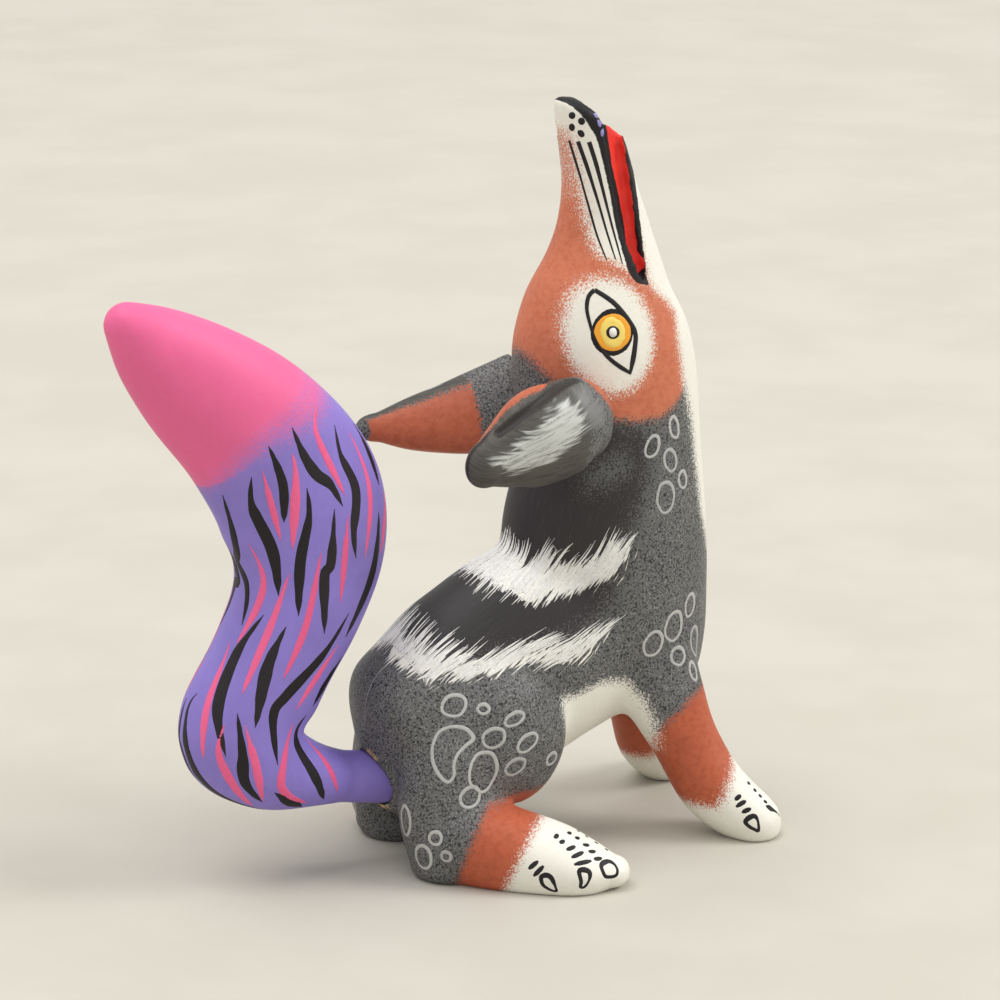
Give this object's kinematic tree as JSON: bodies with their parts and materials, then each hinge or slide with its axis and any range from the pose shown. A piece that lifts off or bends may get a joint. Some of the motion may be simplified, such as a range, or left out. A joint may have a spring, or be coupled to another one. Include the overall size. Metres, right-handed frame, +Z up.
{
  "type": "carved coyote figure",
  "caption": "Painted wooden figure of a seated coyote howling with its nose up; the big tail and the ears are pegged into sockets and pull off.",
  "frame": {"origin": "on the ground under the middle of the figure's box", "axes": "+X the way the coyote faces, +Y its left, +Z up towards the nose"},
  "size_m": [0.1484, 0.0824, 0.1598],
  "materials": {
    "body_paint": "carved copal wood under satin acrylic paint, sponged grey with brushed and dotted detail",
    "tail_paint": "carved copal wood under satin acrylic paint, purple with a pink end and brushed stripes",
    "ear_paint": "carved copal wood under satin acrylic paint, dark grey outside and earth red inside"
  },
  "bodies": {
    "body": {"body": "body_paint"},
    "tail": {"tail": "tail_paint"},
    "right_ear": {"right_ear": "ear_paint"},
    "left_ear": {"left_ear": "ear_paint"}
  },
  "joints": [
    {"name": "tail_pull", "type": "slide", "parent": "body", "child": "tail", "axis": [-0.9848, 0, 0.1736], "range_m": [0, 0.014]},
    {"name": "right_ear_pull", "type": "slide", "parent": "body", "child": "right_ear", "axis": [-0.9062, -0.4229, 0], "range_m": [0, 0.01]},
    {"name": "left_ear_pull", "type": "slide", "parent": "body", "child": "left_ear", "axis": [-0.9062, 0.4229, 0], "range_m": [0, 0.01]}
  ]
}
